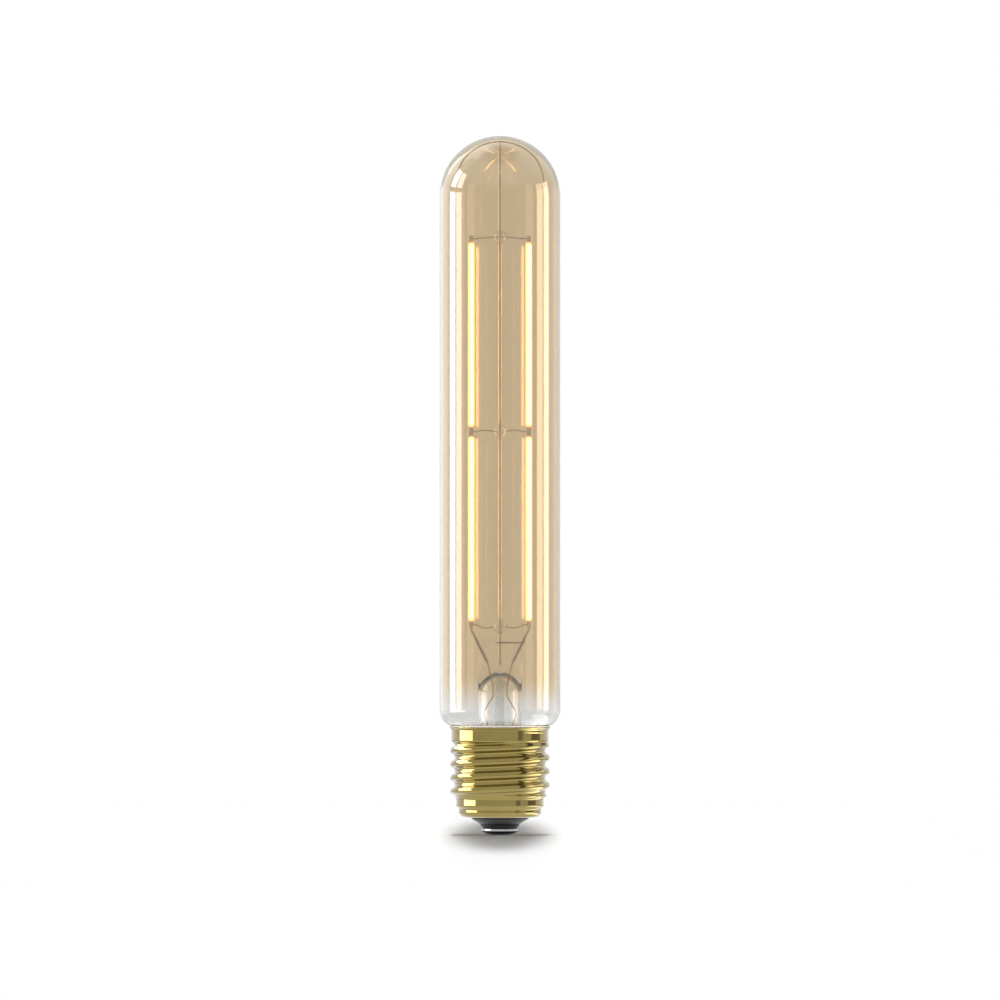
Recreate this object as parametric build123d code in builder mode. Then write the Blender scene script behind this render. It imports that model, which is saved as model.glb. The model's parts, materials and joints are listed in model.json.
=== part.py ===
from build123d import *
import math
import os

# Tubular LED filament bulb on a screw cap, in millimetres.
# The origin is the centre of the contact's lower face, and +Z runs up the axis of the tube.

# Glass envelope
bulb_length = 185.0  # contact face to the top of the dome
bulb_diameter = 32.0
glass_wall = 0.5
glass_sink = 0.3  # lowest point of the shoulder below the cap's lip
neck_length = 6.75  # neck inside the cap, below the shoulder
neck_bend = 1.0  # inside bend from the shoulder to the neck

# Screw cap shell, from its thread outwards and inwards
thread_diameter = 26.4  # over the crests
thread_depth = 1.2
thread_pitch = 3.629
thread_runout = 0.33  # turns at each end over which the ridge sinks away
thread_start_angle = 180.0  # degrees from +X, where the lowest full crest begins
thread_start_rise = 1.64  # from the start of the threaded wall to that crest
thread_end_drop = 2.67  # from the last full crest to the skirt
ridge_flats = 8  # flats round the crest and its flanks
ridge_sink = 0.1  # foot of the flanks below the root
ridge_reach = 0.4  # half the ridge's width above the root, in pitches
foot_reach = 0.46  # half its width at the foot, in pitches
cap_wall = 0.3
base_height = 2.3
base_rounding = 1.4
base_step = 0.7  # base to pilot, in radius
pilot_height = 2.9
pilot_step = 0.4  # pilot to thread root, in radius
thread_height = 15.2
skirt_step = 0.9  # thread root to skirt, in radius
skirt_height = 3.0
lip_flare = 0.52
lip_height = 0.65
cement_gap = 1.5  # thread bore to glass neck, in radius
cement_height = 4.6
cement_recess = 0.1  # cement's top below the lip

# Insulator and centre contact
contact_diameter = 9.6
contact_flat_diameter = 5.0
contact_dome_height = 0.95
contact_plate = 0.75
contact_stem_diameter = 2.4
insulator_nose_height = 0.9
insulator_face_inset = 0.1  # insulator's face inside the contact's rim
insulator_nose_diameter = 10.4
insulator_cone_height = 2.1
floor_width = 3.3  # shell's floor round the insulator
insulator_grip = 1.2  # overlap on the inside of the shell's floor
insulator_flange = 1.1
insulator_hub_diameter = 5.2
insulator_hub_height = 0.6
contact_stem_proud = 0.2  # stem above the hub

# Glass stem
stem_diameter = 11.7
stem_wall = 0.9
flare_inset = 0.3  # flare rim above the neck's end
stem_height = 15.3  # flare rim to the root of the domed end
stem_dome_height = 5.85
press_width = 11.6
press_thickness = 4.2
press_height = 8.6  # above the root of the domed end
press_side_rounding = 1.6
press_top_chamfer = 0.5
exhaust_diameter = 2.7
exhaust_bore = 1.9
exhaust_socket = 0.3
exhaust_hang = 5.0  # sealed tip below the flare rim
blow_hole_diameter = 0.9
blow_hole_rise = 0.45  # above the tube's upper end

# Metal support, leads and wires
rod_diameter = 0.95
rod_seal = 1.0  # rod inside the press
rod_clearance = 1.0  # rod to the inside of the dome
bead_diameter = 3.74
anchor_diameter = 0.28
anchor_weld = 0.3  # anchor's outer end past the middle of the tab
anchor_bow = 0.47  # middle anchors' hump and lower anchors' sag
anchor_seal_gap = 0.45  # anchor's inner end to the rod, inside the bead
bridge_rod_gap = 0.2  # bridge wire to the rod, inside the upper bead
bridge_rise = 0.1  # bridge wire above the middle of the upper bead
lead_diameter = 0.75
lead_seal = 0.5
lead_press_offset = 3.25  # leads from the axis, at the press
lead_weld_drop = 0.4  # lead's bend below the tab
lead_weld_gap = 0.3  # lead's upper end below the filament
lead_in_diameter = 0.35
lead_in_gap = 0.35  # lead-in wires to the exhaust tube and to the stem's wall
lead_in_waist_rise = 2.0  # where they come close to the exhaust tube, above the dome's root
lead_in_waist_drop = 0.7  # where they leave it again, below the dome's root
lead_in_bulge_drop = 4.9  # where they come close to the wall, below the dome's root
lead_in_flare_rise = 1.5  # where they turn in again, above the flare
tie_diameter = 0.44
tie_rise = 5.0  # above the press
tie_overhang = 0.65  # past the lead
tie_rod_overhang = 0.6  # past the rod
wire_bend = 1.5

# LED filaments
filament_headroom = 27.9  # upper filaments to the top of the dome
filament_diameter = 1.7
filament_offset = 7.62  # from the axis, to each side
filament_set_back = 1.1  # from the axis, to the back
filament_rise = 10.5  # press to the lower filaments
filament_joint = 2.1  # between the ends of the upper and lower filaments
filament_chamfer = 0.2
tab_length = 1.55
tab_width = 1.2
tab_thickness = 0.25
bead_drop = 1.25  # lower bead below the lower filaments
bead_lift = 1.1  # upper bead above the upper filaments

# Driver in the cap
board_thickness = 1.0
board_ledge = 0.4  # board's edge over the ledge above the base
rectifier_size = (4.7, 3.9, 2.5)
rectifier_edge = 3.05  # from the board's edge
chip_size = (4.9, 3.9, 1.5)
chip_place = (-4.3, -0.8)
package_draft = 0.25  # chamfer on the moulded packages
capacitor_diameter = 6.3
capacitor_height = 7.5
capacitor_chamfer = 0.5
capacitor_edge = 2.35  # from the board's edge
fuse_diameter = 2.0
fuse_cap_diameter = 2.3
fuse_cap_length = 0.9
fuse_length = 6.0
fuse_place = (4.9, -0.2)
pad_edge = 2.4  # lead-in wires from the board's edge
shell_lead_diameter = 0.5
shell_lead_edge = 2.0  # from the board's edge
shell_lead_rise = 4.0
shell_lead_angle = -45.0
contact_lead_diameter = 0.8

# Levels and radii worked out from the sizes above
contact_top = contact_dome_height + contact_plate
nose_top = contact_top + insulator_nose_height
base_z = nose_top + insulator_cone_height
step_z = base_z + base_height
thread_z = step_z + pilot_height
skirt_z = thread_z + thread_height
lip_z = skirt_z + skirt_height
cap_top = lip_z + lip_height

crest_radius = thread_diameter / 2
root_radius = crest_radius - thread_depth
pilot_radius = root_radius - pilot_step
base_radius = pilot_radius - base_step
skirt_radius = root_radius + skirt_step
lip_radius = skirt_radius + lip_flare
bore_radius = root_radius - cap_wall
opening_radius = base_radius - floor_width

bulb_radius = bulb_diameter / 2
neck_radius = bore_radius - cement_gap
neck_inside = neck_radius - glass_wall
shoulder_radius = bulb_radius - neck_radius - neck_bend
seat_z = cap_top - glass_sink
shoulder_z = seat_z + shoulder_radius
neck_z = seat_z - neck_length
dome_z = bulb_length - bulb_radius

rim_z = neck_z + flare_inset
stem_radius = stem_diameter / 2
flare_radius = neck_inside - stem_radius
flare_z = rim_z + stem_wall + flare_radius
stem_dome_z = rim_z + stem_height
stem_dome_inside = stem_dome_z + stem_dome_height - stem_wall
press_z = stem_dome_z + press_height
exhaust_radius = exhaust_diameter / 2
exhaust_bore_radius = exhaust_bore / 2
exhaust_top = stem_dome_inside + exhaust_socket
exhaust_tip = rim_z - exhaust_hang
blow_hole_z = exhaust_top + blow_hole_rise

rod_radius = rod_diameter / 2
anchor_radius = anchor_diameter / 2
lead_radius = lead_diameter / 2
lead_in_radius = lead_in_diameter / 2
tie_radius = tie_diameter / 2
lower_start = press_z + filament_rise
filament_length = (bulb_length - filament_headroom - lower_start - filament_joint) / 2
lower_end = lower_start + filament_length
upper_start = lower_end + filament_joint
upper_end = upper_start + filament_length
lower_bead_z = lower_start - bead_drop
middle_bead_z = (lower_end + upper_start) / 2
upper_bead_z = upper_end + bead_lift

board_radius = pilot_radius - cap_wall - base_step + board_ledge
board_z = step_z + board_ledge
board_top = board_z + board_thickness
pad_offset = board_radius - pad_edge
shell_lead_offset = board_radius - shell_lead_edge

os.makedirs("parts", exist_ok=True)


def shell_outline(inset):
    """Half section of the shell's wall, moved inwards by inset, from the floor up to the lip."""
    return [
        (0, base_z + inset),
        (base_radius - inset, base_z + inset),
        (base_radius - inset, step_z),
        (pilot_radius - inset, step_z + base_step),
        (pilot_radius - inset, thread_z),
        (root_radius - inset, thread_z + pilot_step),
        (root_radius - inset, skirt_z - skirt_step),
        (skirt_radius - inset, skirt_z),
        (skirt_radius - inset, lip_z),
        (lip_radius - inset, lip_z + lip_flare),
        (lip_radius - inset, cap_top),
        (0, cap_top),
    ]


def shell_form(inset, ease_corner):
    """Turned solid inside the shell's outline, its lower corner eased by a fillet or a chamfer."""
    with BuildPart() as form:
        with BuildSketch(Plane.XZ):
            with BuildLine():
                Polyline(*shell_outline(inset), close=True)
            make_face()
        revolve(axis=Axis.Z)
        floor_edge = form.edges().group_by(Axis.Z)[0]
        ease_corner(floor_edge, base_rounding - inset)
    return form.part


def bent_wire(points, radius):
    """Round wire along straight runs joined by tangent bends."""
    with BuildPart() as wire:
        with BuildLine() as route:
            FilletPolyline(*points, radius=wire_bend)
        with BuildSketch(Plane(origin=route.line @ 0, z_dir=route.line % 0)):
            Circle(radius)
        sweep()
    return wire


def straight_wire(start, end, radius):
    """Round wire from one point to another."""
    along = Vector(*end) - Vector(*start)
    with BuildPart() as wire:
        with BuildSketch(Plane(origin=start, z_dir=along)):
            Circle(radius)
        extrude(amount=along.length)
    return wire


def dome_arc(radius, height):
    """Arc of the stem's round domed end, from its root up to the axis."""
    curve = (radius**2 + height**2) / (2 * height)
    centre_z = stem_dome_z + height - curve
    root_angle = math.degrees(math.asin((curve - height) / curve))
    CenterArc((0, centre_z), curve, root_angle, 90 - root_angle)


# Glass envelope: dome, tube, shoulder and neck in one wall
with BuildPart() as glass_envelope:
    with BuildSketch(Plane.XZ):
        with BuildLine():
            shoulder_centre = (bulb_radius - shoulder_radius, shoulder_z)
            bend_centre = (neck_radius + neck_bend, seat_z - neck_bend)
            CenterArc((0, dome_z), bulb_radius, 0, 90)
            Line((bulb_radius, dome_z), (bulb_radius, shoulder_z))
            CenterArc(shoulder_centre, shoulder_radius, 270, 90)
            CenterArc(bend_centre, neck_bend, 90, 90)
            Line((neck_radius, seat_z - neck_bend), (neck_radius, neck_z))
            Line((neck_radius, neck_z), (neck_inside, neck_z))
            Line((neck_inside, neck_z), (neck_inside, seat_z - neck_bend))
            CenterArc(bend_centre, neck_bend + glass_wall, 90, 90)
            CenterArc(shoulder_centre, shoulder_radius - glass_wall, 270, 90)
            Line((bulb_radius - glass_wall, shoulder_z), (bulb_radius - glass_wall, dome_z))
            CenterArc((0, dome_z), bulb_radius - glass_wall, 0, 90)
            Line((0, bulb_length - glass_wall), (0, bulb_length))
        make_face()
    revolve(axis=Axis.Z)
glass_envelope.part.label = "glass_envelope"
export_step(glass_envelope.part, "parts/glass_envelope.step")

# Support rod, from its seal in the press to just under the dome
with BuildPart() as support_rod:
    with BuildSketch(Plane.XY.offset(press_z - rod_seal)):
        Circle(rod_radius)
    extrude(amount=bulb_length - glass_wall - rod_clearance - press_z + rod_seal)
support_rod.part.label = "support_rod"
export_step(support_rod.part, "parts/support_rod.step")

# LED filaments: the upper pair sits half a tab forward and the lower pair half a tab back, so that
# their tabs meet face to face at the middle joint
sides = {"left": -1, "right": 1}
rows = {
    "upper": (upper_start, filament_set_back - tab_thickness / 2),
    "lower": (lower_start, filament_set_back + tab_thickness / 2),
}
for row, (start, depth) in rows.items():
    for side, sign in sides.items():
        place = (sign * filament_offset, depth)
        with BuildPart() as filament:
            with BuildSketch(Plane.XY.offset(start)):
                with Locations(place):
                    Circle(filament_diameter / 2)
            extrude(amount=filament_length)
            chamfer(filament.edges().filter_by(GeomType.CIRCLE), filament_chamfer)
        filament.part.label = f"filament_{row}_{side}"
        export_step(filament.part, f"parts/filament_{row}_{side}.step")
        ends = {"bottom": start - tab_length, "top": start + filament_length}
        for end, level in ends.items():
            with BuildPart() as tab:
                with BuildSketch(Plane.XY.offset(level)):
                    with Locations(place):
                        Rectangle(tab_width, tab_thickness)
                extrude(amount=tab_length)
            tab.part.label = f"tab_{row}_{end}_{side}"
            export_step(tab.part, f"parts/tab_{row}_{end}_{side}.step")

# Anchor wires, welded behind the tabs; the upper one runs through its bead and joins both sides
weld_out = filament_offset + anchor_weld
weld_in = filament_offset - tab_width
anchor_end = rod_radius + anchor_seal_gap
bead_radius = bead_diameter / 2
upper_weld_y = filament_set_back + anchor_radius
lower_weld_y = filament_set_back + tab_thickness + anchor_radius
bridge_y = rod_radius + bridge_rod_gap + anchor_radius
bridge_weld_z = upper_end + tab_length / 2
bridge_z = upper_bead_z + bridge_rise
upper_bridge_wire = bent_wire(
    [
        (-weld_out, upper_weld_y, bridge_weld_z),
        (-weld_in, upper_weld_y, bridge_weld_z),
        (-bead_radius, bridge_y, bridge_z),
        (bead_radius, bridge_y, bridge_z),
        (weld_in, upper_weld_y, bridge_weld_z),
        (weld_out, upper_weld_y, bridge_weld_z),
    ],
    anchor_radius,
)
upper_bridge_wire.part.label = "upper_bridge_wire"
export_step(upper_bridge_wire.part, "parts/upper_bridge_wire.step")

anchors = {}
for side, sign in sides.items():
    anchors[f"middle_anchor_{side}"] = bent_wire(
        [
            (sign * weld_out, lower_weld_y, middle_bead_z),
            (sign * weld_in, lower_weld_y, middle_bead_z),
            (sign * (weld_in + bead_radius) / 2, lower_weld_y / 2, middle_bead_z + anchor_bow),
            (sign * anchor_end, 0, middle_bead_z),
        ],
        anchor_radius,
    )
    anchors[f"lower_anchor_{side}"] = bent_wire(
        [
            (sign * weld_out, lower_weld_y, lower_start - tab_length / 2),
            (sign * weld_in, lower_weld_y, lower_start - tab_length / 2),
            (sign * (weld_in + bead_radius) / 2, lower_weld_y / 2, lower_bead_z - anchor_bow),
            (sign * anchor_end, 0, lower_bead_z),
        ],
        anchor_radius,
    )
for name, anchor in anchors.items():
    anchor.part.label = name
    export_step(anchor.part, f"parts/{name}.step")

# Glass beads fused round the rod and the inner ends of the anchor wires
beads = {
    "upper_bead": (upper_bead_z, [upper_bridge_wire]),
    "middle_bead": (middle_bead_z, [anchors["middle_anchor_left"], anchors["middle_anchor_right"]]),
    "lower_bead": (lower_bead_z, [anchors["lower_anchor_left"], anchors["lower_anchor_right"]]),
}
for name, (level, wires) in beads.items():
    with BuildPart() as bead:
        with Locations((0, 0, level)):
            Sphere(bead_radius)
        add(support_rod.part, mode=Mode.SUBTRACT)
        for wire in wires:
            add(wire.part, mode=Mode.SUBTRACT)
    bead.part.label = name
    export_step(bead.part, f"parts/{name}.step")

# Inner leads, from the press to the front of the lower tabs, and the lead-in wires below them
lead_weld_y = filament_set_back - lead_radius
lead_bend_z = lower_start - tab_length - lead_weld_drop
lead_foot_z = press_z - lead_seal
waist_offset = exhaust_radius + lead_in_gap + lead_in_radius
bulge_offset = stem_radius - stem_wall - lead_in_gap - lead_in_radius
leads = {}
for side, sign in sides.items():
    leads[f"inner_lead_{side}"] = bent_wire(
        [
            (sign * filament_offset, lead_weld_y, lower_start - lead_weld_gap),
            (sign * filament_offset, lead_weld_y, lead_bend_z),
            (sign * lead_press_offset, 0, lead_foot_z),
        ],
        lead_radius,
    )
    leads[f"lead_in_{side}"] = bent_wire(
        [
            (sign * lead_press_offset, 0, lead_foot_z),
            (sign * waist_offset, 0, stem_dome_z + lead_in_waist_rise),
            (sign * waist_offset, 0, stem_dome_z - lead_in_waist_drop),
            (sign * bulge_offset, 0, stem_dome_z - lead_in_bulge_drop),
            (sign * lead_press_offset, 0, flare_z + lead_in_flare_rise),
            (sign * pad_offset, 0, (board_top + rim_z) / 2),
            (sign * pad_offset, 0, board_top),
        ],
        lead_in_radius,
    )
for name, lead in leads.items():
    lead.part.label = name
    export_step(lead.part, f"parts/{name}.step")

# Tie wire across the front of the rod and the right inner lead
tie_z = press_z + tie_rise
lead_share = (lead_bend_z - tie_z) / (lead_bend_z - lead_foot_z)
tie_lead_x = filament_offset + (lead_press_offset - filament_offset) * lead_share
tie_lead_y = lead_weld_y * (1 - lead_share) - lead_radius - tie_radius
tie_rod_y = -rod_radius - tie_radius
tie_slope = (tie_lead_y - tie_rod_y) / tie_lead_x
tie_start_x = -rod_radius - tie_rod_overhang
tie_end_x = tie_lead_x + tie_overhang
tie_wire = straight_wire(
    (tie_start_x, tie_rod_y + tie_slope * tie_start_x, tie_z),
    (tie_end_x, tie_rod_y + tie_slope * tie_end_x, tie_z),
    tie_radius,
)
tie_wire.part.label = "tie_wire"
export_step(tie_wire.part, "parts/tie_wire.step")

# Exhaust tube, open into the press and sealed by its rounded tip
with BuildPart() as exhaust_tube:
    with BuildSketch(Plane.XZ):
        with BuildLine():
            tip_centre = (0, exhaust_tip + exhaust_radius)
            CenterArc(tip_centre, exhaust_radius, 270, 90)
            Line((exhaust_radius, exhaust_tip + exhaust_radius), (exhaust_radius, exhaust_top))
            Line((exhaust_radius, exhaust_top), (exhaust_bore_radius, exhaust_top))
            Line((exhaust_bore_radius, exhaust_top), (exhaust_bore_radius, exhaust_tip + exhaust_radius))
            CenterArc(tip_centre, exhaust_bore_radius, 270, 90)
            Line((0, exhaust_tip + exhaust_radius - exhaust_bore_radius), (0, exhaust_tip))
        make_face()
    revolve(axis=Axis.Z)
exhaust_tube.part.label = "exhaust_tube"
export_step(exhaust_tube.part, "parts/exhaust_tube.step")

# Glass stem: flare, tube and round domed end, with the flat press standing on the dome
with BuildPart() as glass_stem:
    with BuildSketch(Plane.XZ):
        with BuildLine():
            Line((0, rim_z), (neck_inside, rim_z))
            Line((neck_inside, rim_z), (neck_inside, rim_z + stem_wall))
            CenterArc((neck_inside, flare_z), flare_radius, 180, 90)
            Line((stem_radius, flare_z), (stem_radius, stem_dome_z))
            dome_arc(stem_radius, stem_dome_height)
            Line((0, stem_dome_z + stem_dome_height), (0, rim_z))
        make_face()
    revolve(axis=Axis.Z)
    with BuildSketch(Plane.XY.offset(stem_dome_z)):
        RectangleRounded(press_width, press_thickness, press_side_rounding)
    extrude(amount=press_height)
    chamfer(glass_stem.edges().group_by(Axis.Z)[-1], press_top_chamfer)
    with BuildSketch(Plane.XZ):
        with BuildLine():
            inside = stem_radius - stem_wall
            Line((0, rim_z), (neck_inside, rim_z))
            CenterArc((neck_inside, flare_z), flare_radius + stem_wall, 180, 90)
            Line((inside, flare_z), (inside, stem_dome_z))
            dome_arc(inside, stem_dome_height - stem_wall)
            Line((0, stem_dome_inside), (0, rim_z))
        make_face()
    revolve(axis=Axis.Z, mode=Mode.SUBTRACT)
    with BuildSketch(Plane.XY.offset(exhaust_top)):
        Circle(exhaust_radius)
    extrude(amount=stem_dome_z - exhaust_top, mode=Mode.SUBTRACT)
    with BuildSketch(Plane.XY.offset(blow_hole_z)):
        Circle(exhaust_bore_radius)
    extrude(amount=exhaust_top - blow_hole_z, mode=Mode.SUBTRACT)
    with BuildSketch(Plane.XZ):
        with Locations((0, blow_hole_z)):
            Circle(blow_hole_diameter / 2)
    extrude(amount=press_thickness, both=True, mode=Mode.SUBTRACT)
    add(support_rod.part, mode=Mode.SUBTRACT)
    for lead in leads.values():
        add(lead.part, mode=Mode.SUBTRACT)
glass_stem.part.label = "glass_stem"
export_step(glass_stem.part, "parts/glass_stem.step")

# Thread: a ridge with a round crest and hollow flanks, swept up a helix.
# At each end the helix narrows, so that the ridge sinks into the wall.
crest_z = thread_z + thread_start_rise
thread_turns = (thread_height - thread_start_rise - thread_end_drop) / thread_pitch
runout_slope = math.degrees(math.atan((thread_depth + cap_wall) / (thread_pitch * thread_runout)))
ridge_foot = pilot_radius - cap_wall / 2


def ridge_section(turns):
    """Section of the ridge in the plane through the axis that the helix meets after some turns."""
    angle = math.radians(thread_start_angle + 360 * turns)
    section_plane = Plane(
        origin=(0, 0, crest_z + thread_pitch * turns),
        x_dir=(math.cos(angle), math.sin(angle), 0),
        z_dir=(math.sin(angle), -math.cos(angle), 0),
    )
    steps = [ridge_reach * (2 * i / ridge_flats - 1) for i in range(ridge_flats + 1)]
    crest = [
        (root_radius + thread_depth * (1 + math.cos(2 * math.pi * step)) / 2, thread_pitch * step)
        for step in steps
    ]
    foot = thread_pitch * foot_reach
    with BuildSketch(section_plane) as section:
        with BuildLine():
            Polyline(
                (ridge_foot, -foot),
                (root_radius - ridge_sink, -foot),
                *crest,
                (root_radius - ridge_sink, foot),
                (ridge_foot, foot),
                close=True,
            )
        make_face()
    return section.sketch


def thread_helix(start_turns, turns, up, cone):
    """Helix of some turns, up or down from where the thread has made its start turns."""
    with BuildLine() as helix:
        Helix(
            thread_pitch,
            thread_pitch * turns,
            root_radius,
            center=(0, 0, crest_z + thread_pitch * start_turns),
            direction=(0, 0, 1 if up else -1),
            cone_angle=cone,
        )
    first_angle = 0 if up else 180
    return helix.line.rotate(Axis.Z, thread_start_angle + 360 * start_turns - first_angle)


# Screw shell: turned wall, thread and its run-outs, then the bore and the opening in its floor
with BuildPart() as screw_shell:
    add(shell_form(0, fillet))
    sweep(ridge_section(0), path=thread_helix(0, thread_turns, True, 0), is_frenet=True)
    sweep(
        ridge_section(thread_turns),
        path=thread_helix(thread_turns, thread_runout, True, -runout_slope),
        is_frenet=True,
    )
    sweep(
        ridge_section(0),
        path=thread_helix(0, thread_runout, False, -runout_slope),
        is_frenet=True,
    )
    add(shell_form(cap_wall, chamfer), mode=Mode.SUBTRACT)
    with BuildSketch(Plane.XY.offset(base_z)):
        Circle(opening_radius)
    extrude(amount=cap_wall, mode=Mode.SUBTRACT)
screw_shell.part.label = "screw_shell"
export_step(screw_shell.part, "parts/screw_shell.step")

# Capping cement between the shell, the glass neck and the shoulder, up to just under the lip
cement_top = cap_top - cement_recess
cement_reach = math.degrees(math.acos((shoulder_z - cement_top) / shoulder_radius))
with BuildPart() as capping_cement:
    with BuildSketch(Plane.XZ):
        with BuildLine():
            bend = CenterArc(bend_centre, neck_bend, 180, -90)
            bed = CenterArc(shoulder_centre, shoulder_radius, 270, cement_reach)
            Polyline(
                bed @ 1,
                (lip_radius, cement_top),
                (lip_radius, cement_top - cement_height),
                (neck_radius, cement_top - cement_height),
                bend @ 0,
            )
        make_face()
    revolve(axis=Axis.Z)
    add(shell_form(cap_wall, chamfer), mode=Mode.INTERSECT)
capping_cement.part.label = "capping_cement"
export_step(capping_cement.part, "parts/capping_cement.step")

# Black glass insulator, which grips the shell's floor from both sides
hub_z = base_z + cap_wall + insulator_flange
contact_stem_radius = contact_stem_diameter / 2
with BuildPart() as insulator:
    with BuildSketch(Plane.XZ):
        with BuildLine():
            Polyline(
                (contact_stem_radius, contact_top),
                (contact_diameter / 2 - insulator_face_inset, contact_top),
                (insulator_nose_diameter / 2, nose_top),
                (opening_radius, base_z - cap_wall),
                (opening_radius, base_z + cap_wall),
                (opening_radius + insulator_grip, base_z + cap_wall),
                (opening_radius + insulator_grip, hub_z),
                (insulator_hub_diameter / 2, hub_z),
                (insulator_hub_diameter / 2, hub_z + insulator_hub_height),
                (contact_stem_radius, hub_z + insulator_hub_height),
                close=True,
            )
        make_face()
    revolve(axis=Axis.Z)
insulator.part.label = "insulator"
export_step(insulator.part, "parts/insulator.step")

# Centre contact: plate with a shallow dome and a flat, and a hollow stem through the insulator
contact_stem_top = hub_z + insulator_hub_height + contact_stem_proud
contact_lead_radius = contact_lead_diameter / 2
with BuildPart() as centre_contact:
    with BuildSketch(Plane.XZ):
        with BuildLine():
            flat_radius = contact_flat_diameter / 2
            plate_radius = contact_diameter / 2
            TangentArc((flat_radius, 0), (plate_radius, contact_dome_height), tangent=(1, 0))
            Polyline(
                (plate_radius, contact_dome_height),
                (plate_radius, contact_top),
                (contact_stem_radius, contact_top),
                (contact_stem_radius, contact_stem_top),
                (contact_lead_radius, contact_stem_top),
                (contact_lead_radius, contact_top),
                (0, contact_top),
                (0, 0),
                (flat_radius, 0),
            )
        make_face()
    revolve(axis=Axis.Z)
centre_contact.part.label = "centre_contact"
export_step(centre_contact.part, "parts/centre_contact.step")

# Driver board on the ledge above the shell's base
with BuildPart() as driver_board:
    with BuildSketch(Plane.XY.offset(board_z)):
        Circle(board_radius)
    extrude(amount=board_thickness)
driver_board.part.label = "driver_board"
export_step(driver_board.part, "parts/driver_board.step")

# Moulded packages on the board
rectifier_place = (0, rectifier_size[1] / 2 + rectifier_edge - board_radius)
packages = {
    "bridge_rectifier": (rectifier_size, rectifier_place),
    "driver_chip": (chip_size, chip_place),
}
for name, ((length, width, height), place) in packages.items():
    with BuildPart() as package:
        with BuildSketch(Plane.XY.offset(board_top)):
            with Locations(place):
                Rectangle(length, width)
        extrude(amount=height)
        chamfer(package.faces().sort_by(Axis.Z)[-1].edges(), package_draft)
    package.part.label = name
    export_step(package.part, f"parts/{name}.step")

# Smoothing capacitor, standing on the board
capacitor_y = board_radius - capacitor_edge - capacitor_diameter / 2
with BuildPart() as smoothing_capacitor:
    with BuildSketch(Plane.XY.offset(board_top)):
        with Locations((0, capacitor_y)):
            Circle(capacitor_diameter / 2)
    extrude(amount=capacitor_height)
    chamfer(smoothing_capacitor.faces().sort_by(Axis.Z)[-1].edges(), capacitor_chamfer)
smoothing_capacitor.part.label = "smoothing_capacitor"
export_step(smoothing_capacitor.part, "parts/smoothing_capacitor.step")

# Fuse resistor lying on the board, with an end cap at each end
fuse_plane = Plane(
    origin=(fuse_place[0], fuse_place[1], board_top + fuse_cap_diameter / 2), z_dir=(0, 1, 0)
)
with BuildPart() as fuse_resistor:
    with BuildSketch(fuse_plane):
        Circle(fuse_diameter / 2)
    extrude(amount=fuse_length / 2, both=True)
    for end in (-1, 1):
        with BuildSketch(fuse_plane.offset(end * fuse_length / 2)):
            Circle(fuse_cap_diameter / 2)
        extrude(amount=-end * fuse_cap_length)
fuse_resistor.part.label = "fuse_resistor"
export_step(fuse_resistor.part, "parts/fuse_resistor.step")

# Wires from the board to the shell and to the contact
lead_turn = math.radians(shell_lead_angle)
lead_direction = (math.cos(lead_turn), math.sin(lead_turn))
shell_lead_route = [
    (shell_lead_offset, board_top),
    (shell_lead_offset, board_top + shell_lead_rise),
    (bore_radius, board_top + shell_lead_rise),
]
shell_lead = bent_wire(
    [(r * lead_direction[0], r * lead_direction[1], z) for r, z in shell_lead_route],
    shell_lead_diameter / 2,
)
shell_lead.part.label = "shell_lead"
export_step(shell_lead.part, "parts/shell_lead.step")

contact_lead = straight_wire((0, 0, contact_top), (0, 0, board_z), contact_lead_radius)
contact_lead.part.label = "contact_lead"
export_step(contact_lead.part, "parts/contact_lead.step")
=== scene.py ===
import json
import math

import bmesh
import bpy
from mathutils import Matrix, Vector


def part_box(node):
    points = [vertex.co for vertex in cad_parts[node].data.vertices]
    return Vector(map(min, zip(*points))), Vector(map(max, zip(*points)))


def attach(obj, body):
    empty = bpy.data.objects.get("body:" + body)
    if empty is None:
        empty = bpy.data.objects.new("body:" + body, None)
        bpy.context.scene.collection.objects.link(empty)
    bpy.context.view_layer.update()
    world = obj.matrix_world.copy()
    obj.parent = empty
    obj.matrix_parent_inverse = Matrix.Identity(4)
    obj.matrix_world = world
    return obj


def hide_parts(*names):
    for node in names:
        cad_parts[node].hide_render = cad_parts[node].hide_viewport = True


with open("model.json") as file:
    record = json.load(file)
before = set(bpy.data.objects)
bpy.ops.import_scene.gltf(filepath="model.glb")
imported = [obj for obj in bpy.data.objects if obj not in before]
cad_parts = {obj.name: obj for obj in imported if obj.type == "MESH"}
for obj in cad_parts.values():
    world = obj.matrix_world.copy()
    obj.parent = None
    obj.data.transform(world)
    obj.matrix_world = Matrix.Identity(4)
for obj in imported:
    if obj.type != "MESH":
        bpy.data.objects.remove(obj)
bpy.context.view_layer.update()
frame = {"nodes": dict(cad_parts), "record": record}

# Sizes are in millimetres, as in the part's source, and become metres where a mesh is made.
MM = 0.001

# Sizes read from the frame
envelope_low, envelope_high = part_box("glass_envelope")
shell_low, shell_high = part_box("screw_shell")
stem_low, stem_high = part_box("glass_stem")
exhaust_low, exhaust_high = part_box("exhaust_tube")
rod_low, rod_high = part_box("support_rod")
insulator_low, insulator_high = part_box("insulator")
contact_low, contact_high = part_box("centre_contact")
bulb_radius = envelope_high.x / MM
bulb_top = envelope_high.z / MM
neck_z = envelope_low.z / MM
base_z = shell_low.z / MM
cap_top = shell_high.z / MM
lip_radius = shell_high.x / MM
rim_z = stem_low.z / MM
press_z = stem_high.z / MM
rim_clearance = 0.1  # flare's rim inside the solid's, which keeps it clear of the neck
flare_rim_radius = stem_high.x / MM - rim_clearance
exhaust_radius = exhaust_high.x / MM
exhaust_tip = exhaust_low.z / MM
rod_radius = rod_high.x / MM
insulator_radius = insulator_high.x / MM
insulator_top = insulator_high.z / MM
contact_radius = contact_high.x / MM
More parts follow.
